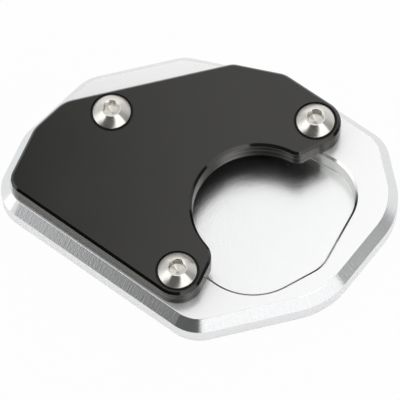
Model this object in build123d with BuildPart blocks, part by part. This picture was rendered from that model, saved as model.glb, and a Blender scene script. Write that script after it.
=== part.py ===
from build123d import *
from math import sqrt, tan, radians
import os

# Foot enlarger for a motorbike's side stand. A bevelled base plate spreads the load on soft ground. The
# stand's foot lies in the plate's pocket, a clamp plate with a C-shaped gap for the leg closes over it,
# and three button-head screws pull the two plates together.
# Millimetres, +Z up, origin under the middle of the base plate, X along its long straight side.

# Base plate: the box that its outline fills, its thickness and its edges
base_length = 93.7
base_width = 75.7
base_thickness = 8.0
bevel_width = 2.6            # measured on the top face
bevel_height = 2.9           # measured down the side
underside_break = 0.3

# Base plate: corners of the outline, measured in from the box's sides
slant_length = 23.05         # slanted side at the low right, along X
slant_width = 28.55          # the same side along Y
short_slant_length = 15.9    # slanted side at the high right, along X
short_slant_width = 14.25    # the same side along Y
low_left_in = 5.05           # low left corner from the left
top_left_in = 45.25          # left end of the top side from the left
shoulder_in = 19.4           # shoulder from the left
shoulder_down = 11.45        # shoulder from the top
left_high_in = 2.55          # upper end of the left side from the left
left_high_down = 32.35       # upper end of the left side from the top
left_tip_out = 0.173         # left corner past the box, before it is rounded
left_tip_down = 55.65        # left corner from the top

# Base plate: radii of the outline's corners
low_left_radius = 10.0
low_right_radius = 11.0
right_low_radius = 22.0
right_high_radius = 19.0
top_right_radius = 10.0
top_left_radius = 12.0
shoulder_radius = 10.0
left_high_radius = 10.0
left_tip_radius = 11.5

# Clamp plate: thickness, edges, and how far its sides lie inside the base plate's
clamp_thickness = 5.6
clamp_chamfer = 0.7
clamp_foot_break = 0.2
clamp_margin = 3.1           # top and bottom sides
clamp_shoulder_margin = 3.45
clamp_diagonal_margin = 9.6
clamp_left_margin = 3.85
clamp_corner_radius = 5.0
clamp_top_radius = 6.0
clamp_left_radius = 8.0

# Clamp plate: lobes round the two outer screws, and the C-shaped gap for the leg
lobe_radius = 6.7
low_lobe_lean = 13.3         # lean of the low lobe's side towards the gap, degrees
high_lobe_lean = 23.8        # lean of the high lobe's side
gap_radius = 17.4
gap_in = 28.95               # gap's centre from the base plate's right side
gap_offset = -0.5            # gap's centre from the middle line
low_nose_radius = 5.8
high_nose_radius = 3.2

# Screws: where they stand
low_screw_in = 34.35         # from the base plate's right side
high_screw_in = 31.95        # from the base plate's right side
left_screw_in = 6.5          # from the clamp plate's diagonal side
left_screw_run = 3.5         # along the diagonal side from the upper end of the left side

# Screws: sizes of a button-head M6 with a hexagon socket
shank_radius = 3.0
head_radius = 5.05
head_height = 3.0
head_rim_height = 0.9
head_bulge = 0.1             # of the head's flank, past a straight cone
head_crown_radius = 2.55     # flat ring round the socket
socket_width = 4.0           # across the flats
socket_depth = 2.1
socket_lead_radius = 2.3
socket_lead_angle = 30.0     # slope of the socket's lead-in, degrees
socket_point_radius = 1.9    # shallow cone that the drill left in the socket's floor
socket_point_depth = 0.5
tip_chamfer = 0.6
tip_clearance = 0.9          # from the screw's tip to the underside

# Holes
counterbore_depth = 0.7
head_clearance = 0.62        # round a screw's head in its counterbore
shank_clearance = 0.3        # round a shank in the clamp plate
thread_clearance = 0.05      # round a shank in its tapped hole
thread_lead = 0.5            # chamfer at both mouths of a tapped hole

# Pocket for the stand's foot
pocket_depth = 5.8
pocket_chamfer_width = 0.7   # measured on the top face
pocket_chamfer_height = 0.6  # measured down the wall
pocket_web = 2.35            # wall between the pocket and the low screw's hole
pocket_low_in = 15.55        # corners, from the base plate's right side
pocket_right_in = 7.25
pocket_high_in = 11.9
pocket_right_offset = -2.6   # right corner from the middle line
pocket_high_drop = 3.15      # high corner below the high screw
pocket_inner_drop = 6.85     # inner high corner below the high screw
pocket_low_tuck = 10.2       # inner corners, from the gap's wall under the clamp plate
pocket_inner_tuck = 6.2
pocket_low_radius = 16.0
pocket_right_radius = 9.0
pocket_high_radius = 12.0
pocket_inner_radius = 12.0

# Places that follow from the sizes above
half_length = base_length / 2
half_width = base_width / 2
clamp_top = base_thickness + clamp_thickness
bearing_height = clamp_top - counterbore_depth
screw_length = bearing_height - tip_clearance
tapped_radius = shank_radius + thread_clearance
screw_line = half_width - clamp_margin - lobe_radius
low_screw = Vector(half_length - low_screw_in, -screw_line)
high_screw = Vector(half_length - high_screw_in, screw_line)
gap = Vector(half_length - gap_in, gap_offset)
gap_wall = gap.X - gap_radius

# Base plate's corners, counter-clockwise from the low left
low_left = Vector(low_left_in - half_length, -half_width)
low_right = Vector(half_length - slant_length, -half_width)
right_low = Vector(half_length, slant_width - half_width)
right_high = Vector(half_length, half_width - short_slant_width)
top_right = Vector(half_length - short_slant_length, half_width)
top_left = Vector(top_left_in - half_length, half_width)
shoulder = Vector(shoulder_in - half_length, half_width - shoulder_down)
left_high = Vector(left_high_in - half_length, half_width - left_high_down)
left_tip = Vector(-left_tip_out - half_length, half_width - left_tip_down)

base_corners = {
    low_left: low_left_radius,
    low_right: low_right_radius,
    right_low: right_low_radius,
    right_high: right_high_radius,
    top_right: top_right_radius,
    top_left: top_left_radius,
    shoulder: shoulder_radius,
    left_high: left_high_radius,
    left_tip: left_tip_radius,
}

pocket_floor_side = low_screw.Y + tapped_radius + pocket_web
pocket_corners = {
    Vector(gap_wall - pocket_low_tuck, pocket_floor_side): pocket_inner_radius,
    Vector(half_length - pocket_low_in, pocket_floor_side): pocket_low_radius,
    Vector(half_length - pocket_right_in, pocket_right_offset): pocket_right_radius,
    Vector(half_length - pocket_high_in, high_screw.Y - pocket_high_drop): pocket_high_radius,
    Vector(gap_wall - pocket_inner_tuck, high_screw.Y - pocket_inner_drop): pocket_inner_radius,
}


def moved_in(start, end, margin):
    """A side of the base plate, moved inwards by a margin: where it starts, and its direction."""
    along = (end - start).normalized()
    inwards = Vector(-along.Y, along.X)
    return start + inwards * margin, along


def crossing(side, other):
    """Where two sides cross."""
    (point, along), (other_point, other_along) = side, other
    away = other_point - point
    turn = along.X * other_along.Y - along.Y * other_along.X
    return point + along * ((away.X * other_along.Y - away.Y * other_along.X) / turn)


def gap_entry(point, along):
    """Where a lobe's side meets the gap's circle, and its point nearest the gap's centre."""
    foot = point + along * (gap - point).dot(along)
    reach = sqrt(gap_radius**2 - (gap - foot).length**2)
    return foot - along * reach, foot


# The left screw stands beside the clamp plate's diagonal side
beside_diagonal, up_diagonal = moved_in(left_high, shoulder, -clamp_diagonal_margin - left_screw_in)
left_screw = beside_diagonal + up_diagonal * left_screw_run
screws = [low_screw, high_screw, left_screw]
screw_turns = [38.0, 26.0, 55.0]    # where each socket came to rest, degrees

# Base plate: bevelled outline, chamfered pocket and tapped holes
with BuildPart() as base_plate:
    with BuildSketch():
        with BuildLine():
            FilletPolyline(*base_corners, radius=base_corners.values(), close=True)
        make_face()
    extrude(amount=base_thickness)
    top = base_plate.faces().sort_by(Axis.Z)[-1]
    chamfer(top.edges(), length=bevel_width, length2=bevel_height, reference=top)
    chamfer(base_plate.faces().sort_by(Axis.Z)[0].edges(), length=underside_break)

    with BuildSketch(Plane.XY.offset(base_thickness)):
        with BuildLine():
            FilletPolyline(*pocket_corners, radius=pocket_corners.values(), close=True)
        make_face()
    extrude(amount=-pocket_depth, mode=Mode.SUBTRACT)
    top = base_plate.faces().sort_by(Axis.Z)[-1]
    rim = top.inner_wires()[0]
    chamfer(rim.edges(), length=pocket_chamfer_width, length2=pocket_chamfer_height, reference=top)

    with Locations(*[(screw.X, screw.Y, base_thickness) for screw in screws]):
        Hole(radius=tapped_radius)
    mouths = base_plate.edges().filter_by(GeomType.CIRCLE).filter_by(lambda edge: edge.is_closed)
    chamfer(mouths, length=thread_lead)

# Clamp plate: its left sides follow the base plate's, its lobes run round the screws into the gap
with BuildPart() as clamp_plate:
    with BuildSketch(Plane.XY.offset(base_thickness)) as clamp_outline:
        top_side = moved_in(top_right, top_left, clamp_margin)
        shoulder_side = moved_in(top_left, shoulder, clamp_shoulder_margin)
        diagonal_side = moved_in(shoulder, left_high, clamp_diagonal_margin)
        left_side = moved_in(left_high, left_tip, clamp_left_margin)
        low_left_side = moved_in(left_tip, low_left, clamp_left_margin)
        bottom_side = moved_in(low_left, low_right, clamp_margin)
        clamp_corners = {
            crossing(top_side, shoulder_side): clamp_top_radius,
            crossing(shoulder_side, diagonal_side): clamp_corner_radius,
            crossing(diagonal_side, left_side): clamp_left_radius,
            crossing(left_side, low_left_side): clamp_left_radius,
            crossing(low_left_side, bottom_side): clamp_corner_radius,
        }
        with BuildLine():
            low_lobe = CenterArc(low_screw, lobe_radius, -90, 90 + low_lobe_lean)
            high_lobe = CenterArc(high_screw, lobe_radius, -high_lobe_lean, 90 + high_lobe_lean)
            low_nose, low_foot = gap_entry(low_lobe @ 1, low_lobe % 1)
            high_nose, high_foot = gap_entry(high_lobe @ 0, -(high_lobe % 0))
            Polyline(low_lobe @ 1, low_foot, high_foot, high_lobe @ 0)
            FilletPolyline(high_lobe @ 1, *clamp_corners, low_lobe @ 0, radius=clamp_corners.values())
        make_face()
        with Locations(gap):
            Circle(gap_radius, mode=Mode.SUBTRACT)
        fillet(clamp_outline.vertices().sort_by_distance(low_nose)[0], radius=low_nose_radius)
        fillet(clamp_outline.vertices().sort_by_distance(high_nose)[0], radius=high_nose_radius)
    extrude(amount=clamp_thickness)
    chamfer(clamp_plate.faces().sort_by(Axis.Z)[-1].edges(), length=clamp_chamfer)
    chamfer(clamp_plate.faces().sort_by(Axis.Z)[0].edges(), length=clamp_foot_break)

    with Locations(*[(screw.X, screw.Y, clamp_top) for screw in screws]):
        CounterBoreHole(
            radius=shank_radius + shank_clearance,
            counter_bore_radius=head_radius + head_clearance,
            counter_bore_depth=counterbore_depth,
        )

# One screw, with the head's bearing face at height zero
with BuildPart() as screw:
    with BuildSketch(Plane.XZ):
        with BuildLine():
            rim = Polyline(
                (0, head_height),
                (0, -screw_length),
                (shank_radius - tip_chamfer, -screw_length),
                (shank_radius, tip_chamfer - screw_length),
                (shank_radius, 0),
                (head_radius, 0),
                (head_radius, head_rim_height),
            )
            flank = SagittaArc(rim @ 1, (head_crown_radius, head_height), -head_bulge)
            Line(flank @ 1, rim @ 0)
        make_face()
    revolve(axis=Axis.Z)
    with BuildSketch(Plane.XY.offset(head_height)):
        RegularPolygon(socket_width / 2, side_count=6, major_radius=False)
    extrude(amount=-socket_depth, mode=Mode.SUBTRACT)
    with BuildSketch(Plane.XZ):
        socket_floor = head_height - socket_depth
        lead_depth = socket_lead_radius * tan(radians(socket_lead_angle))
        with BuildLine():
            Polyline(
                (0, head_height),
                (0, head_height - lead_depth),
                (socket_lead_radius, head_height),
                close=True,
            )
        make_face()
        with BuildLine():
            Polyline(
                (0, socket_floor),
                (0, socket_floor - socket_point_depth),
                (socket_point_radius, socket_floor),
                close=True,
            )
        make_face()
    revolve(axis=Axis.Z, mode=Mode.SUBTRACT)

# The three screws, each seated on the floor of its counterbore
seats = [
    Location((place.X, place.Y, bearing_height), (0, 0, turn))
    for place, turn in zip(screws, screw_turns)
]
with BuildPart() as clamp_screws:
    with Locations(*seats):
        add(screw.part)

os.makedirs("parts", exist_ok=True)
base_plate.part.label = "base_plate"
export_step(base_plate.part, "parts/base_plate.step")
clamp_plate.part.label = "clamp_plate"
export_step(clamp_plate.part, "parts/clamp_plate.step")
clamp_screws.part.label = "clamp_screws"
export_step(clamp_screws.part, "parts/clamp_screws.step")
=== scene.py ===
from math import pi, radians, sqrt, tan

import bpy
import numpy as np
from mathutils import Matrix, Vector
from mathutils.geometry import tessellate_polygon


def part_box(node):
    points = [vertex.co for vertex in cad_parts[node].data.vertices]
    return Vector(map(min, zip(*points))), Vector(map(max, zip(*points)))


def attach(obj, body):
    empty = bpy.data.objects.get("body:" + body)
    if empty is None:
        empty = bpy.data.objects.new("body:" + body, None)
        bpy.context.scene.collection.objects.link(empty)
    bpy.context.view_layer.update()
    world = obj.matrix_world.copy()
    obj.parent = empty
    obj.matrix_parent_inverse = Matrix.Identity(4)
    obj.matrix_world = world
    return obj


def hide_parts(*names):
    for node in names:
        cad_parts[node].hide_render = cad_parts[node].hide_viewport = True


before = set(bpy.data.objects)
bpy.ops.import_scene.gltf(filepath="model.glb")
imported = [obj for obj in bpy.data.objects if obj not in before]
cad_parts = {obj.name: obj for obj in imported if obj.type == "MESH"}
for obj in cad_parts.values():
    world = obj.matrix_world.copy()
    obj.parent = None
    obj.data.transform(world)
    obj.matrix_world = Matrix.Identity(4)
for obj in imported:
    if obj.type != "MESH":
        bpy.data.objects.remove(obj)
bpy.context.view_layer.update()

# Foot enlarger for a side stand: a bevelled aluminium base plate, a black clamp plate on it, and three
# button-head screws. Lengths are millimetres until a surface is put into its mesh.

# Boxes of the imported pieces
per_metre = 1000
base_highest = np.array(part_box("base_plate")[1]) * per_metre
clamp_highest = np.array(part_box("clamp_plate")[1]) * per_metre
screws_lowest = np.array(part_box("clamp_screws")[0]) * per_metre
half_length, half_width, base_top = base_highest
clamp_top = clamp_highest[2]

# Base plate
bevel_width = 2.6             # on the top face
bevel_height = 2.9            # down the side
underside_break = 0.3
low_left_in = 5.05            # low left corner from the left
slant_length = 23.05          # slanted side at the low right, along X
slant_width = 28.55           # the same side along Y
short_slant_length = 15.9     # slanted side at the high right, along X
short_slant_width = 14.25     # the same side along Y
top_left_in = 45.25           # left end of the top side from the left
shoulder_in = 19.4            # shoulder from the left
shoulder_down = 11.45         # shoulder from the top
left_high_in = 2.55           # upper end of the left side from the left
left_high_down = 32.35        # upper end of the left side from the top
left_tip_out = 0.173          # left corner past the box, before it is rounded
left_tip_down = 55.65         # left corner from the top
low_left = low_left_in - half_length, -half_width
low_right = half_length - slant_length, -half_width
right_low = half_length, slant_width - half_width
right_high = half_length, half_width - short_slant_width
top_right = half_length - short_slant_length, half_width
top_left = top_left_in - half_length, half_width
shoulder = shoulder_in - half_length, half_width - shoulder_down
left_high = left_high_in - half_length, half_width - left_high_down
left_tip = -left_tip_out - half_length, half_width - left_tip_down
base_corners = np.array([
    low_left, low_right, right_low, right_high, top_right, top_left, shoulder, left_high, left_tip,
])
base_radii = [10, 11, 22, 19, 10, 12, 10, 10, 11.5]

# Clamp plate
clamp_chamfer = 0.7
clamp_foot_break = 0.2
clamp_margin = 3.1            # in from the base plate's top and bottom sides
shoulder_margin = 3.45        # from the side left of the top
diagonal_margin = 9.6         # from the long diagonal side
left_margin = 3.85            # from the two sides at the left
clamp_radii = [6, 5, 8, 8, 5]
lobe_radius = 6.7
low_lobe_lean = radians(13.3)
high_lobe_lean = radians(23.8)
gap_in = 28.95                # gap's centre from the base plate's right side
gap_offset = -0.5             # gap's centre from the middle line
gap_centre = np.array([half_length - gap_in, gap_offset])
gap_radius = 17.4
low_nose_radius = 5.8
high_nose_radius = 3.2

# Screws and their holes
low_screw_in = 34.35          # from the base plate's right side
high_screw_in = 31.95         # from the base plate's right side
left_screw_in = 6.5           # from the clamp plate's diagonal side
left_screw_run = 3.5          # along that side from the upper end of the left side
screw_line = half_width - clamp_margin - lobe_radius
shank_radius = 3.0
head_radius = 5.05
head_height = 3.0
head_rim_height = 0.9
crown_radius = 2.55           # flat ring round the socket
head_bulge = 0.1              # of the flank, past a straight cone
socket_width = 4.0            # across the flats
socket_depth = 2.1
socket_lead_radius = 2.3
socket_lead_slope = tan(radians(30))
socket_point_radius = 1.9     # shallow cone that the drill left
socket_point_depth = 0.5
tip_chamfer = 0.6
counterbore_depth = 0.7
head_clearance = 0.62         # round a head in its counterbore
shank_clearance = 0.3         # round a shank in the clamp plate
counterbore_radius = head_radius + head_clearance
clearance_radius = shank_radius + shank_clearance
thread_pitch = 1.0
thread_depth = 0.6
thread_gap = 0.05             # between a screw's thread and its hole's
thread_lead = 0.5             # cone at both mouths of a tapped hole
plain_shank = 1.0             # below the head
thread_runout = 1.2           # from the plain shank to the full thread
bearing_height = clamp_top - counterbore_depth
screw_length = bearing_height - screws_lowest[2]
screw_turns = np.radians([38, 26, 55])

# Pocket for the stand's foot
pocket_depth = 5.8
pocket_chamfer_width = 0.7    # on the top face
pocket_chamfer_height = 0.6   # down the wall
pocket_fillet = 0.25          # round its floor
pocket_web = 2.35             # wall between the pocket and the low screw's hole
pocket_low_in = 15.55         # corners, from the base plate's right side
pocket_right_in = 7.25
pocket_high_in = 11.9
pocket_right_offset = -2.6    # right corner from the middle line
pocket_high_drop = 3.15       # high corner below the high screw
pocket_inner_drop = 6.85      # inner high corner below the high screw
pocket_low_tuck = 10.2        # inner corners, from the gap's wall under the clamp plate
pocket_inner_tuck = 6.2
pocket_radii = [12, 16, 9, 12, 12]

# Rounding that a file or a tumbling drum leaves on the edges
edge_radius = 0.12
bevel_edge_radius = 0.2
fine_edge_radius = 0.05
seat_edge_radius = 0.015

# Rounded edges of a screw's head and socket: how far each starts from its sharp corner, and how far the
# middle point stands off that corner
rim_edge = 0.08
flank_edge = 0.03
lead_edge = 0.04
socket_edge = 0.06
edge_cut = 0.02
fine_cut = 0.015
point_cut = 0.01
point_ring = 0.02             # innermost ring of the socket's point

# Flat strips past the rounded edges, where the flat faces join on
underside_lip = 0.3
top_lip = 0.25
floor_lip = 1.0
foot_lip = 0.1
clamp_lip = 0.03
seat_lip = 0.018
hole_lip = 0.3

# Steps round a corner, a rounded edge, a ring and a tapped hole, and rows along the threads and a flank
corner_steps = 40
edge_steps = 5
ring_steps = 97
hole_steps = 96
hole_rows = 161
shank_rows = 151
flank_rows = 40
same_place = 1e-6             # points nearer to each other than this are one

# A strip of a section with its middle this near the top, or the pocket's floor, has the finish of that face
top_reach = 0.02
floor_reach = 0.1

# Finishes by number, of the base plate, the clamp plate and the screws
satin, bright_cut, pocket_wall, pocket_floor = range(4)
blasted, milled_wall, bored_seat, cut_edge = range(4)
turned, pressed_socket = range(2)


def unit(angle):
    """Unit vectors at the given angles: cosine along X, sine along Y."""
    return np.stack([np.cos(angle), np.sin(angle)], -1)


def corner_arcs(corners, radii, closed=True):
    """Arcs that round the corners of a path: centres, radii, start angles and sweeps.

    At a corner where the path turns by t, the arc starts r * tan(t / 2) before the corner, and its centre
    lies r to the side that the path turns to. The ends of an open path keep their place, as arcs with no
    sweep.
    """
    corners = np.asarray(corners, float)
    radii = np.asarray(radii, float)
    ahead = np.roll(corners, -1, 0) - corners
    if not closed:
        ahead[-1] = ahead[-2]
    behind = np.roll(ahead, 1, 0)
    if not closed:
        behind[0] = ahead[0]
    heading = np.arctan2(behind[:, 1], behind[:, 0])
    turn = (np.arctan2(ahead[:, 1], ahead[:, 0]) - heading + pi) % (2 * pi) - pi
    side = np.where(turn < 0, -1.0, 1.0)
    start = corners - unit(heading) * (radii * np.tan(abs(turn) / 2))[:, None]
    centres = start + unit(heading + pi / 2) * (side * radii)[:, None]
    return centres, radii, heading - side * pi / 2, turn


def along(centres, radii, starts, sweeps, steps, closed=True):
    """Points on a chain of arcs and the straight runs between them, their normals, and the length run so far.

    A point is centre + r * (cos a, sin a), with a going from start to start + sweep. The normal points to the
    right-hand side of the travel. A point that falls on the next one is left out.
    """
    angle = starts[:, None] + sweeps[:, None] * np.linspace(0, 1, steps)
    out = unit(angle)
    points = (centres[:, None] + radii[:, None, None] * out).reshape(-1, 2)
    normals = (np.where(sweeps < 0, -1.0, 1.0)[:, None, None] * out).reshape(-1, 2)
    stride = np.linalg.norm(np.roll(points, -1, 0) - points, axis=1)
    keep = stride > same_place
    if not closed:
        keep[-1] = True
    length = np.concatenate([[0], np.cumsum(stride[keep])])
    return points[keep], normals[keep], length if closed else length[:-1]


def outline(corners, radii):
    """Closed outline with rounded corners."""
    return along(*corner_arcs(corners, radii), corner_steps)


def profile(corners, radii):
    """Open profile (out, height) with rounded edges. Its two ends stay sharp."""
    arcs = corner_arcs(corners, [0, *radii, 0], closed=False)
    return along(*arcs, edge_steps, closed=False)


def ring(centre, radius):
    """Full circle as a closed path."""
    return along(np.array([centre]), np.array([radius]), np.zeros(1), np.array([2 * pi]), ring_steps)


def strip_heights(section):
    """Height of the middle of each strip of a section."""
    shape = section[0]
    return (shape[1:, 1] + shape[:-1, 1]) / 2


def moved_in(start, end, margin):
    """A side moved inwards by a margin: where it starts, and its direction."""
    direction = (end - start) / np.linalg.norm(end - start)
    return start + margin * np.array([-direction[1], direction[0]]), direction


def crossing(side, other):
    """Where two sides cross: along the first by the ratio of two cross products."""
    (point, direction), (other_point, other_direction) = side, other
    step = np.cross(other_point - point, other_direction)
    return point + direction * step / np.cross(direction, other_direction)


def nose_centre(lobe, lean, radius, way):
    """Centre of the round nose between a lobe's side and the gap.

    It lies its radius inside the lobe's side, and its radius outside the gap's circle: from the point of that
    inner line nearest the gap's centre it is sqrt((gap radius + r)^2 - distance^2) along the line.
    """
    direction = unit(lean + pi / 2)
    on_line = lobe + (lobe_radius - radius) * unit(lean)
    nearest = on_line + direction * np.dot(gap_centre - on_line, direction)
    reach = sqrt((gap_radius + radius) ** 2 - np.sum((gap_centre - nearest) ** 2))
    return nearest + way * reach * direction


def bearing(start, end):
    """Angle of the direction from one point to another."""
    return np.arctan2(end[1] - start[1], end[0] - start[0])


# Places of the screws
low_screw = np.array([half_length - low_screw_in, -screw_line])
high_screw = np.array([half_length - high_screw_in, screw_line])
left_screw_margin = -diagonal_margin - left_screw_in    # negative, as the side runs upwards here
beside_diagonal, up_diagonal = moved_in(np.array(left_high), np.array(shoulder), left_screw_margin)
left_screw = beside_diagonal + left_screw_run * up_diagonal
screw_places = np.array([low_screw, high_screw, left_screw])


def clamp_outline():
    """Outline of the clamp plate: lobe, nose, gap, nose, lobe, then corners along the base plate's sides."""
    margins = [clamp_margin, shoulder_margin, diagonal_margin, left_margin, left_margin, clamp_margin]
    past = np.array([top_right, top_left, shoulder, left_high, left_tip, low_left, low_right])
    sides = [moved_in(start, end, margin) for start, end, margin in zip(past, past[1:], margins)]
    corners = [crossing(side, other) for side, other in zip(sides, sides[1:])]
    ends = [high_screw + (0, lobe_radius)], [low_screw - (0, lobe_radius)]
    left_arcs = corner_arcs([*ends[0], *corners, *ends[1]], [0, *clamp_radii, 0], closed=False)
    low_nose = nose_centre(low_screw, low_lobe_lean, low_nose_radius, -1)
    high_nose = nose_centre(high_screw, -high_lobe_lean, high_nose_radius, 1)
    centres = np.array([low_screw, low_nose, gap_centre, high_nose, high_screw])
    radii = np.array([lobe_radius, low_nose_radius, gap_radius, high_nose_radius, lobe_radius])
    starts = np.array([
        -pi / 2,
        low_lobe_lean,
        bearing(gap_centre, low_nose),
        bearing(high_nose, gap_centre),
        -high_lobe_lean,
    ])
    sweeps = np.array([
        pi / 2 + low_lobe_lean,
        (bearing(low_nose, gap_centre) - low_lobe_lean) % (2 * pi),
        -((bearing(gap_centre, low_nose) - bearing(gap_centre, high_nose)) % (2 * pi)),
        (-high_lobe_lean - bearing(high_nose, gap_centre)) % (2 * pi),
        pi / 2 + high_lobe_lean,
    ])
    right_arcs = centres, radii, starts, sweeps
    chain = [np.concatenate([first, rest[1:-1]]) for first, rest in zip(right_arcs, left_arcs)]
    return along(*chain, corner_steps)


def pocket_outline():
    """Outline of the pocket: two corners hidden under the clamp plate and three that show in the gap."""
    low_side = low_screw[1] + shank_radius + thread_gap + pocket_web
    gap_wall = gap_centre[0] - gap_radius
    corners = [
        (gap_wall - pocket_low_tuck, low_side),
        (half_length - pocket_low_in, low_side),
        (half_length - pocket_right_in, pocket_right_offset),
        (half_length - pocket_high_in, high_screw[1] - pocket_high_drop),
        (gap_wall - pocket_inner_tuck, high_screw[1] - pocket_inner_drop),
    ]
    return outline(corners, pocket_radii)


def carried(path, section):
    """A section carried along a path, as a grid of both: point + normal * out, at the section's height."""
    (points, normals, _), (shape, _, _) = path, section
    plan = points[:, None] + normals[:, None] * shape[None, :, :1]
    height = np.broadcast_to(shape[None, :, 1:], (*plan.shape[:2], 1))
    return np.concatenate([plan, height], 2)


def thread_radius(angle, height):
    """Radius of a right-hand thread: it falls from crest to root with the distance from the helix line, a
    trapezoid with a flat crest of an eighth of the pitch and a flat root of a quarter."""
    crest, root = 1 / 8, 1 / 4
    phase = (height / thread_pitch - angle / (2 * pi)) % 1
    fall = np.clip((abs(phase - 0.5) * 2 - crest) / (1 - crest - root), 0, 1)
    return shank_radius - thread_depth * fall


class Skin:
    """Closed surface of one piece, gathered from grids and flat caps that share their vertices."""

    def __init__(self):
        self.points = np.zeros((0, 3))
        self.faces = []
        self.runs = []
        self.finishes = []

    def grid(self, points, u, v, finish=0):
        """Adds a grid that closes on itself along its first direction, with a finish for each of its strips.
        Returns its vertex numbers."""
        rows, columns = points.shape[:2]
        number = len(self.points) + np.arange(rows * columns).reshape(rows, columns)
        self.points = np.concatenate([self.points, points.reshape(-1, 3)])
        number_round = np.concatenate([number, number[:1]])
        place = np.stack(np.meshgrid(u, v, indexing="ij"), -1)
        self.faces.append(quads(number_round))
        self.runs.append(quads(place))
        self.finishes.append(np.broadcast_to(finish, (rows, columns - 1)).ravel())
        return number

    def cap(self, up, *loops, finish=0):
        """Adds a flat face between an outer loop and the loops of its holes, facing up (1) or down (-1)."""
        numbers = np.concatenate(loops)
        corners = self.points[numbers]
        rings = [self.points[loop].tolist() for loop in loops]
        triangles = np.array(tessellate_polygon(rings))
        a, b, c = corners[triangles[:, 0]], corners[triangles[:, 1]], corners[triangles[:, 2]]
        upside_down = np.cross(b - a, c - a)[:, 2] * up < 0
        triangles[upside_down] = triangles[upside_down][:, ::-1]
        self.faces.append(numbers[triangles])
        self.runs.append(np.zeros((*triangles.shape, 2)))
        self.finishes.append(np.full(len(triangles), finish))

    def fan(self, centre, loop, up):
        """Closes a loop with triangles to one centre point."""
        number = len(self.points)
        self.points = np.concatenate([self.points, [centre]])
        pair = np.stack([loop, np.roll(loop, -1)] if up > 0 else [np.roll(loop, -1), loop], 1)
        triangles = np.concatenate([pair, np.full((len(loop), 1), number)], 1)
        self.faces.append(triangles)
        self.runs.append(np.zeros((*triangles.shape, 2)))
        self.finishes.append(np.zeros(len(triangles)))

    def piece(self, name, node, slot, material):
        """Puts the surface into a mesh in metres, with vertex normals weighted by the area of the faces round
        each vertex, so that wide faces stay flat and narrow rounded edges take the turn.

        Half the cross product of a four-sided face's diagonals is its area along its normal, and that of two
        sides of a triangle is the same for it.
        """
        points = self.points / per_metre
        normals = np.zeros_like(points)
        for face in self.faces:
            corners = points[face]
            other = 1 if face.shape[1] == 4 else 0
            area = np.cross(corners[:, -2] - corners[:, 0], corners[:, -1] - corners[:, other])
            np.add.at(normals, face, area[:, None])
        normals /= np.linalg.norm(normals, axis=1)[:, None]
        mesh = bpy.data.meshes.new(name)
        mesh.from_pydata(points, [], [row for face in self.faces for row in face.tolist()])
        mesh.shade_smooth()
        runs = mesh.uv_layers.new(name="run")
        runs.uv.foreach_set("vector", np.concatenate([run.reshape(-1, 2) for run in self.runs]).ravel())
        finishes = mesh.attributes.new("finish", "FLOAT", "FACE")
        finishes.data.foreach_set("value", np.concatenate(self.finishes).astype(np.float32))
        mesh.normals_split_custom_set_from_vertices(normals)
        mesh.materials.append(material)
        piece = bpy.data.objects.new(name, mesh)
        bpy.context.scene.collection.objects.link(piece)
        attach(piece, "root")
        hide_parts(node)


def quads(grid):
    """The four corners of every cell of a grid of vertex numbers or places."""
    cells = np.stack([grid[:-1, :-1], grid[1:, :-1], grid[1:, 1:], grid[:-1, 1:]], 2)
    return cells.reshape(-1, *cells.shape[2:])


def base_skin():
    """Base plate: the edge's section carried round the outline, the pocket's section round the pocket, and
    three tapped holes, joined by the top, the underside and the pocket's floor."""
    skin = Skin()
    path = outline(base_corners, base_radii)
    edge = profile(
        [
            (-underside_break - underside_lip, 0),
            (-underside_break, 0),
            (0, underside_break),
            (0, base_top - bevel_height),
            (-bevel_width, base_top),
            (-bevel_width - top_lip, base_top),
        ],
        [edge_radius, edge_radius, edge_radius, bevel_edge_radius],
    )
    middle = strip_heights(edge)
    on_bevel = (middle > base_top - bevel_height) & (middle < base_top - top_reach)
    rim = skin.grid(carried(path, edge), path[2], edge[2], np.where(on_bevel, bright_cut, satin))

    pocket_path = pocket_outline()
    floor_height = base_top - pocket_depth
    wall = profile(
        [
            (pocket_chamfer_width + top_lip, base_top),
            (pocket_chamfer_width, base_top),
            (0, base_top - pocket_chamfer_height),
            (0, floor_height),
            (-floor_lip, floor_height),
        ],
        [edge_radius, edge_radius, pocket_fillet],
    )
    middle = strip_heights(wall)
    finish = np.where(middle > floor_height + floor_reach, pocket_wall, pocket_floor)
    finish = np.where(middle > base_top - pocket_chamfer_height, bright_cut, finish)
    finish = np.where(middle > base_top - top_reach, satin, finish)
    pocket = skin.grid(carried(pocket_path, wall), pocket_path[2], wall[2], finish)

    holes = [skin.grid(*tapped_hole(place, turn)) for place, turn in zip(screw_places, screw_turns)]
    skin.cap(1, rim[:, -1], pocket[:, 0], *[hole[:, 0] for hole in holes])
    skin.cap(1, pocket[:, -1], finish=pocket_floor)
    skin.cap(-1, rim[:, 0], *[hole[:, -1] for hole in holes])
    return skin


def tapped_hole(place, turn):
    """Tapped hole from the top down: the screw's own thread plus a gap, opened by a cone at both mouths."""
    angle = np.arange(hole_steps) / hole_steps * 2 * pi
    height = np.linspace(base_top, 0, hole_rows)
    mouth = shank_radius + thread_gap + thread_lead - np.minimum(base_top - height, height)
    thread = thread_radius(angle[:, None] - turn, height - bearing_height) + thread_gap
    radius = np.maximum(thread, mouth)
    plan = place + radius[..., None] * unit(angle)[:, None]
    points = np.concatenate([plan, np.broadcast_to(height[None, :, None], (*radius.shape, 1))], 2)
    return points, np.linspace(0, 2 * pi * shank_radius, hole_steps + 1), base_top - height


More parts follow.
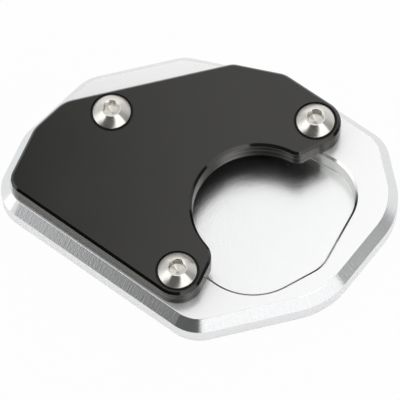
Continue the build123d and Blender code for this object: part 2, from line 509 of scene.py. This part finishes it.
def clamp_skin():
    """Clamp plate: the edge's section carried round the outline, and a stepped section round each screw."""
    skin = Skin()
    path = clamp_outline()
    edge = profile(
        [
            (-clamp_foot_break - foot_lip, base_top),
            (-clamp_foot_break, base_top),
            (0, base_top + clamp_foot_break),
            (0, clamp_top - clamp_chamfer),
            (-clamp_chamfer, clamp_top),
            (-clamp_chamfer - clamp_lip, clamp_top),
        ],
        [fine_edge_radius, fine_edge_radius, edge_radius, fine_edge_radius],
    )
    middle = strip_heights(edge)
    on_wall = (middle > base_top + clamp_foot_break) & (middle < clamp_top - clamp_chamfer)
    on_chamfer = (middle > clamp_top - clamp_chamfer) & (middle < clamp_top - top_reach)
    finish = np.where(on_wall, milled_wall, np.where(on_chamfer, cut_edge, blasted))
    rim = skin.grid(carried(path, edge), path[2], edge[2], finish)
    step = clearance_radius - counterbore_radius
    seat = profile(
        [
            (seat_lip, clamp_top),
            (0, clamp_top),
            (0, bearing_height),
            (step, bearing_height),
            (step, base_top),
            (step + hole_lip, base_top),
        ],
        [seat_edge_radius, fine_edge_radius, fine_edge_radius, fine_edge_radius],
    )
    holes = []
    for place in screw_places:
        around = ring(place, counterbore_radius)
        holes.append(skin.grid(carried(around, seat), around[2], seat[2], bored_seat))
    skin.cap(1, rim[:, -1], *[hole[:, 0] for hole in holes])
    skin.cap(-1, rim[:, 0], *[hole[:, -1] for hole in holes])
    return skin


def screw_skin(place, turn):
    """Button-head screw, as rings from the tip to the socket's floor.

    Each ring is a radius and a height at every angle: thread, head's rim, flank (a straight line from rim to
    crown, t along it, that bulges by 4 * bulge * t * (1 - t)), crown, and the socket, whose radius is half
    its width / cos(angle from the middle of the flat). Heights start at the underside of the head. The angles
    stand closer together near the corners of the hexagon.
    """
    sector = np.concatenate([[0, 0.8, 2], np.linspace(5, 55, 11), [58, 59.2]])
    angle = np.radians(np.arange(6)[:, None] * 60 + sector).ravel()
    flat = np.ones_like(angle)[:, None]

    under_head = 0.3    # from the shank's last ring to the head
    shank_height = np.linspace(-screw_length, -under_head, shank_rows)
    cone = shank_radius - tip_chamfer + (shank_height + screw_length)
    fade = np.clip((shank_height + plain_shank + thread_runout) / thread_runout, 0, 1)
    thread = thread_radius(angle[:, None], shank_height) * (1 - fade) + shank_radius * fade
    shank = np.minimum(thread, cone), flat * shank_height

    rim = np.array([head_radius, head_rim_height])
    slope = np.array([crown_radius, head_height]) - rim
    out = np.array([slope[1], -slope[0]]) / np.linalg.norm(slope)
    t = np.linspace(0, 1, flank_rows)[1:-1, None]
    flank = rim + slope * t + out * 4 * head_bulge * t * (1 - t)
    head = np.concatenate([
        [(shank_radius, 0), (shank_radius + edge_cut, 0), (head_radius - rim_edge, 0)],
        [(head_radius - edge_cut, edge_cut), (head_radius, rim_edge)],
        [(head_radius, head_rim_height - flank_edge)],
        flank,
        [(crown_radius + flank_edge, head_height - edge_cut), (crown_radius - edge_cut, head_height)],
    ])
    head = flat * head[:, 0], flat * head[:, 1]

    hexagon = (socket_width / 2 / np.cos(angle % (pi / 3) - pi / 6))[:, None]
    lead = np.maximum(socket_lead_radius, hexagon)
    lead_drop = (lead - hexagon) * socket_lead_slope
    floor_height = head_height - socket_depth
    rows = [
        (lead + flank_edge, flat * head_height),
        (lead, flat * (head_height - fine_cut)),
        (hexagon + fine_cut, head_height - lead_drop - fine_cut),
        (hexagon, head_height - lead_drop - lead_edge),
        (hexagon, flat * (floor_height + socket_edge)),
        (hexagon - edge_cut, flat * (floor_height + fine_cut)),
        (hexagon - socket_edge, flat * floor_height),
        (flat * (socket_point_radius + edge_cut), flat * floor_height),
        (flat * (socket_point_radius - flank_edge), flat * (floor_height - point_cut)),
        (flat * point_ring, flat * (floor_height - socket_point_depth)),
    ]
    socket = [np.concatenate(column, 1) for column in zip(*rows)]

    radius = np.concatenate([shank[0], head[0], socket[0]], 1)
    height = np.concatenate([shank[1], head[1], socket[1]], 1)
    plan = place + radius[..., None] * unit(angle + turn)[:, None]
    points = np.concatenate([plan, height[..., None] + bearing_height], 2)
    meridian = 5    # one of the angles away from the hexagon's corners
    across = np.concatenate([[0], np.cumsum(np.hypot(np.diff(radius[meridian]), np.diff(height[meridian])))])
    inside = np.arange(len(across) - 1) >= shank[0].shape[1] + head[0].shape[1]
    finish = np.where(inside, pressed_socket, turned)
    skin = Skin()
    rings = skin.grid(points, np.append(angle, 2 * pi) * head_radius, across, finish)
    skin.fan((*place, bearing_height - screw_length), rings[:, 0], -1)
    skin.fan((*place, bearing_height + floor_height - socket_point_depth), rings[:, -1], 1)
    return skin


class Wire:
    """An output of a node. Arithmetic on wires and numbers adds Math nodes, `add` makes any other node."""

    def __init__(self, socket):
        self.socket = socket
        self.tree = socket.id_data

    @staticmethod
    def add(tree, kind, settings=None, inputs=None, output=0):
        """Makes a node of a kind: first its settings, then the values or wires of its inputs."""
        node = tree.nodes.new(kind)
        for name, value in (settings or {}).items():
            setattr(node, name, value)
        for name, value in (inputs or {}).items():
            if isinstance(value, Wire):
                tree.links.new(value.socket, node.inputs[name])
            else:
                node.inputs[name].default_value = value
        return Wire(node.outputs[output]) if len(node.outputs) else node

    def math(self, operation, *terms):
        """Makes a Math node with these terms."""
        return Wire.add(self.tree, "ShaderNodeMath", {"operation": operation}, dict(enumerate(terms)))

    def __add__(self, other):
        return self.math("ADD", self, other)

    __radd__ = __add__

    def __sub__(self, other):
        return self.math("SUBTRACT", self, other)

    def __rsub__(self, other):
        return self.math("SUBTRACT", other, self)

    def __mul__(self, other):
        return self.math("MULTIPLY", self, other)

    __rmul__ = __mul__

    def between(self, low, high):
        """0 below low, 1 above high, and a smooth rise in between."""
        settings = {"interpolation_type": "SMOOTHSTEP"}
        inputs = {"Value": self, "From Min": low, "From Max": high}
        return Wire.add(self.tree, "ShaderNodeMapRange", settings, inputs)


def new_material(name):
    """A material and its empty node tree."""
    material = bpy.data.materials.new(name)
    material.use_nodes = True
    material.node_tree.nodes.clear()
    return material, material.node_tree


def noise(tree, vector, scale, detail):
    """Soft noise from 0 to 1, with its cells 1 / scale apart."""
    inputs = {"Vector": vector, "Scale": scale, "Detail": detail}
    return Wire.add(tree, "ShaderNodeTexNoise", {}, inputs)


def line_noise(tree, place, scale, detail):
    """Noise along one length only, as stripes across it."""
    inputs = {"W": place, "Scale": scale, "Detail": detail}
    return Wire.add(tree, "ShaderNodeTexNoise", {"noise_dimensions": "1D"}, inputs)


def stretched(tree, vector, factors):
    """A vector with its three parts multiplied by factors."""
    return Wire.add(tree, "ShaderNodeVectorMath", {"operation": "MULTIPLY"}, {0: vector, 1: factors})


def tint(tree, share, dark, light):
    """Mix of two colours by a share. Each colour is a triple or the wire of another mix."""
    ends = [colour if isinstance(colour, Wire) else (*colour, 1) for colour in (dark, light)]
    return Wire.add(tree, "ShaderNodeMix", {"data_type": "RGBA"}, {0: share, 6: ends[0], 7: ends[1]}, 2)


def bump(tree, height, strength, distance):
    """Normals of a surface that is raised by height times distance."""
    inputs = {"Strength": strength, "Distance": distance, "Height": height}
    return Wire.add(tree, "ShaderNodeBump", {}, inputs)


def close(tree, shader):
    """Ends a material with its shader."""
    Wire.add(tree, "ShaderNodeOutputMaterial", {}, {"Surface": shader})


def places(tree):
    """Object coordinates, the length along an outline and along its section, and the number of the finish."""
    place = Wire.add(tree, "ShaderNodeTexCoord", output="Object")
    run = Wire.add(tree, "ShaderNodeUVMap", {"uv_map": "run"})
    u, v = (Wire.add(tree, "ShaderNodeSeparateXYZ", {}, {0: run}, name) for name in "XY")
    finish = Wire.add(tree, "ShaderNodeAttribute", {"attribute_name": "finish"}, output="Fac")
    return place, u, v, finish


def marked(finish, number):
    """1 on the faces whose finish has this number, and 0 on all others."""
    return finish.math("COMPARE", finish, number, 0.5)


def milled_aluminium():
    """Machined aluminium: satin faces with a fine grain, which scatter part of the light, a bright bevel with
    cutter marks across it, pocket walls with lines along them, and a pocket floor with a fine mottle."""
    material, tree = new_material("milled_aluminium")
    place, u, v, finish = places(tree)
    numbers = satin, bright_cut, pocket_wall, pocket_floor
    dull, bright, wall, floor = (marked(finish, number) for number in numbers)
    grain = noise(tree, stretched(tree, place, (300.0, 4200.0, 4200.0)), 1.0, 3.0)
    cloud = noise(tree, place, 45.0, 2.0)
    marks = 0.4 * line_noise(tree, u, 2.4, 3.0) + 0.6 * noise(tree, place, 1700.0, 2.0)
    streaks = line_noise(tree, v, 2.2, 3.0)
    mottle = noise(tree, place, 3000.0, 2.0)

    floor_colour = tint(tree, 0.6 * cloud + 0.4 * mottle, (0.885, 0.89, 0.892), (0.925, 0.928, 0.93))
    dull_colour = tint(tree, 0.6 * cloud + 0.4 * grain, (0.955, 0.958, 0.96), (0.988, 0.99, 0.99))
    bright_colour = tint(tree, marks, (0.73, 0.745, 0.755), (0.95, 0.96, 0.965))
    wall_colour = tint(tree, streaks, (0.78, 0.80, 0.76), (0.92, 0.925, 0.90))
    colour = tint(tree, dull, floor_colour, dull_colour)
    colour = tint(tree, bright, colour, bright_colour)
    colour = tint(tree, wall, colour, wall_colour)
    roughness = 0.22 + 0.06 * grain + bright * (0.06 * marks - 0.14)
    roughness = roughness + wall * (0.1 * streaks + 0.04) + floor * (0.06 * mottle - 0.03)
    height = 0.3 * grain * (1 - floor) + 1.8 * marks * bright + 0.8 * streaks * wall + 2.0 * mottle * floor
    close(tree, Wire.add(tree, "ShaderNodeBsdfPrincipled", {}, {
        "Base Color": colour,
        "Metallic": 1 - 0.45 * dull,
        "Roughness": roughness,
        "Normal": bump(tree, height, 0.5, 0.00002),
    }))
    return material


def black_anodising():
    """Black anodised aluminium: a dark dyed oxide, finely blasted before the dye, bright-cut chamfers, and a
    duller seat under each screw. The walls reflect more, with lines along them where the end mill stepped
    down and finer ones across them where it dragged."""
    material, tree = new_material("black_anodising")
    place, u, v, finish = places(tree)
    wall, seat, edge = (marked(finish, number) for number in (milled_wall, bored_seat, cut_edge))
    blast = noise(tree, place, 3800.0, 3.0)
    cloud = noise(tree, place, 60.0, 2.0)
    steps = line_noise(tree, v, 1.3, 2.0).between(0.38, 0.62)
    drag = line_noise(tree, u, 4.0, 3.0)
    dyed_colour = tint(tree, 0.6 * cloud + 0.4 * blast, (0.0018, 0.0016, 0.0014), (0.0048, 0.0043, 0.0038))
    wall_colour = tint(tree, 0.7 * steps + 0.3 * drag, (0.014, 0.0135, 0.013), (0.083, 0.082, 0.08))
    close(tree, Wire.add(tree, "ShaderNodeBsdfPrincipled", {}, {
        "Base Color": tint(tree, wall, dyed_colour, wall_colour),
        "Metallic": wall,
        "IOR": 1.61,
        "Specular Tint": (1.0, 0.99, 0.965, 1),
        "Roughness": 0.12 + 0.05 * cloud + 0.05 * blast + 0.08 * wall * steps + 0.55 * seat - 0.09 * edge,
        "Normal": bump(tree, 0.1 * blast * (1 - edge) + wall * (steps + drag), 1.0, 0.00002),
    }))
    return material


def stainless_steel():
    """Turned stainless steel: rings left by the lathe spread the reflections along the radius and keep them
    narrow round the axis, and a little wear shows as faint cloud. The pressed socket is a little duller."""
    material, tree = new_material("stainless_steel")
    place, _, v, finish = places(tree)
    socket = marked(finish, pressed_socket)
    rings = line_noise(tree, v, 9.0, 2.0)
    cloud = noise(tree, place, 420.0, 3.0)
    close(tree, Wire.add(tree, "ShaderNodeBsdfPrincipled", {}, {
        "Base Color": tint(tree, 0.5 * rings + 0.5 * cloud, (0.69, 0.673, 0.627), (0.80, 0.78, 0.727)),
        "Metallic": 1.0,
        "Roughness": 0.18 + 0.08 * cloud + 0.06 * socket,
        "Anisotropic": 0.75,
        "Anisotropic Rotation": 0.25,
        "Normal": bump(tree, rings + 0.6 * cloud, 0.2, 0.00001),
    }))
    return material


aluminium = milled_aluminium()
anodising = black_anodising()
steel = stainless_steel()
base_skin().piece("base_plate_milled", "base_plate", "bright_aluminium", aluminium)
clamp_skin().piece("clamp_plate_anodised", "clamp_plate", "black_anodised", anodising)
for screw_name, screw_place, screw_turn in zip(["low", "high", "left"], screw_places, screw_turns):
    screw_skin(screw_place, screw_turn).piece(f"{screw_name}_screw", "clamp_screws", "stainless_steel", steel)

# View of the photograph: its turn round the part, its rise over the floor and its roll
view_turn = radians(40.3)
view_rise = radians(63.32)
view_roll = radians(3.12)

# Floor: a white sheet that shows as plain background, and keeps part of the shadow. Metres.
floor_half = 2.5
floor_drop = 0.00005


def white_floor():
    """White paper that glows: nearly all glow to the camera, which leaves a faint shadow, half glow in a
    reflection, and plain paper to scattered light. From below it is clear."""
    material, tree = new_material("white_floor")
    path = tree.nodes.new("ShaderNodeLightPath").outputs
    camera_ray = Wire(path["Is Camera Ray"])
    glossy_ray = Wire(path["Is Glossy Ray"])
    transmission_ray = Wire(path["Is Transmission Ray"])
    seen = camera_ray * 0.95 + glossy_ray * 0.5 + transmission_ray * 0.5
    paper = Wire.add(tree, "ShaderNodeBsdfDiffuse", {}, {"Color": (0.9, 0.9, 0.9, 1)})
    glow = Wire.add(tree, "ShaderNodeEmission", {}, {"Color": (1, 1, 1, 1), "Strength": 1.0})
    sheet = Wire.add(tree, "ShaderNodeMixShader", {}, {0: seen, 1: paper, 2: glow})
    behind = Wire.add(tree, "ShaderNodeNewGeometry", output="Backfacing")
    clear = Wire.add(tree, "ShaderNodeBsdfTransparent")
    close(tree, Wire.add(tree, "ShaderNodeMixShader", {}, {0: behind, 1: sheet, 2: clear}))
    return material


floor_mesh = bpy.data.meshes.new("floor")
floor_corners = np.array([(-1, -1, 0), (1, -1, 0), (1, 1, 0), (-1, 1, 0)]) * floor_half - (0, 0, floor_drop)
floor_mesh.from_pydata(floor_corners, [], [(0, 1, 2, 3)])
floor_mesh.materials.append(white_floor())
floor = bpy.data.objects.new("floor", floor_mesh)
bpy.context.scene.collection.objects.link(floor)


def studio_light():
    """Soft studio round the part: a sum of levels, each within soft limits of a direction's turn from the
    camera to the right and its rise over the floor, both in degrees. The camera itself sees plain white.

    Low down, a dark front lies between a panel at the left and one at the right, whose edges lean: their turn
    changes with the rise. Past the right panel comes a grey wall with a dark slot, and behind the part a pale
    one. Overhead is a bright ceiling.
    """
    world = bpy.data.worlds.new("studio")
    world.use_nodes = True
    tree = world.node_tree
    tree.nodes.clear()
    ray = Wire.add(tree, "ShaderNodeTexCoord", output="Generated")
    x, y, z = (Wire.add(tree, "ShaderNodeSeparateXYZ", {}, {0: ray}, name) for name in "XYZ")
    front = x * float(np.sin(view_turn)) - y * float(np.cos(view_turn))
    right = x * float(np.cos(view_turn)) + y * float(np.sin(view_turn))
    turn = front.math("ARCTAN2", right, front) * (180 / pi)
    rise = z.math("ARCSINE", z) * (180 / pi)

    # Dark front with a faint glow low down and another higher up, and a haze low at the left
    beside = turn.between(66.5, 68.5)
    corner = turn.between(-54, -44)
    low_glow = 0.09 * (1 - rise.between(14.5, 17) * (1 - corner)) * (1 - rise.between(18, 22))
    high_glow = 0.1 * rise.between(22, 27) * (1 - rise.between(44, 52))
    dark = 0.03 + (low_glow + high_glow) * (1 - beside)
    haze = 0.73 - 0.2 * turn.between(-62, -59.5) - 0.53 * turn.between(-63, -55)
    haze = haze * (1 - rise.between(13.5, 16.5))

    # Panels, by the turn past their leaning edges
    leaning = rise.math("MINIMUM", rise.math("MAXIMUM", rise, 16.0), 32.0)
    left_edge = turn + 75.0 - 1.28 * (leaning - 16)
    right_edge = turn + 2.3 - 1.13 * (rise - 18)
    left_panel = 1 - left_edge.between(-1.8, 1.8)
    right_panel = right_edge.between(-1.5, 1.5) * (1 - beside)
    sides = dark + haze * (1 - left_panel) + (1.25 + 0.25 * rise.between(20, 30)) * left_panel
    sides = sides + (0.97 + 0.6 * rise.between(18.5, 27)) * right_panel - 0.6 * (1 - turn.between(-118, -88))

    # Grey wall past the right panel, with its slot falling to the right, and the pale wall behind the part
    past_slot = rise - 17.5 + 0.31 * (turn - 68.5)
    slot = past_slot.between(-3, -1.5) * (1 - past_slot.between(1.5, 3)) * beside * (1 - turn.between(91, 97))
    sides = sides + 0.39 * beside + 0.28 * turn.between(80, 120) - 0.3 * slot
    away = turn.math("ABSOLUTE", turn)
    behind = away.between(105, 125)
    low = sides * (1 - behind) + (0.75 + 0.45 * away.between(138, 158)) * behind

    # Ceiling: dark round one spot at the back, dimmer at the left, with a gap at the right and a lamp at the
    # front, and left out towards the camera
    spot = (right + 0.115) * (right + 0.115) + (front + 0.465) * (front + 0.465)
    from_spot = spot.math("SQRT", spot)
    gap = turn.between(60, 66) * (1 - turn.between(108, 120)) * (1 - rise.between(70, 80))
    lamp = turn.between(20, 42) * (1 - turn.between(54, 62))
    lamp = lamp * rise.between(48, 54) * (1 - rise.between(72, 80))
    ceiling = 1.15 - 1.05 * (1 - from_spot.between(0.05, 0.12)) - 0.36 * (1 - right.between(-0.35, -0.2))
    ceiling = ceiling - gap + 1.3 * lamp
    unlit = turn.between(-60, -50) * (1 - turn.between(12, 24)) * (1 - rise.between(70, 80))
    over = rise.between(44, 56) * (1 - unlit)

    strength = low * (1 - over) + ceiling * over
    seen = Wire(tree.nodes.new("ShaderNodeLightPath").outputs["Is Camera Ray"])
    strength = seen + strength * (1 - seen)
    light = Wire.add(tree, "ShaderNodeBackground", {}, {"Color": (1, 1, 1, 1), "Strength": strength})
    Wire.add(tree, "ShaderNodeOutputWorld", {}, {"Surface": light})
    bpy.context.scene.world = world


studio_light()

# Camera, as the photograph was taken: aimed at a point of the clamp plate's top. Metres.
aim = Vector((4.8, -8.5, 13.6)) / per_metre
distance = 0.7768
ahead = Vector((
    -np.sin(view_turn) * np.cos(view_rise),
    np.cos(view_turn) * np.cos(view_rise),
    -np.sin(view_rise),
))
level = Vector((np.cos(view_turn), np.sin(view_turn), 0))
down = ahead.cross(level)
right = level * np.cos(view_roll) + down * np.sin(view_roll)
up = level * np.sin(view_roll) - down * np.cos(view_roll)
camera_data = bpy.data.cameras.new("camera")
camera_data.sensor_width = 36
camera_data.lens = 270
camera_data.clip_start = 0.01
camera = bpy.data.objects.new("camera", camera_data)
orientation = Matrix((right, up, -ahead)).transposed().to_4x4()
camera.matrix_world = Matrix.Translation(aim - ahead * distance) @ orientation
bpy.context.scene.collection.objects.link(camera)
bpy.context.scene.camera = camera
bpy.context.scene.view_settings.view_transform = "Standard"
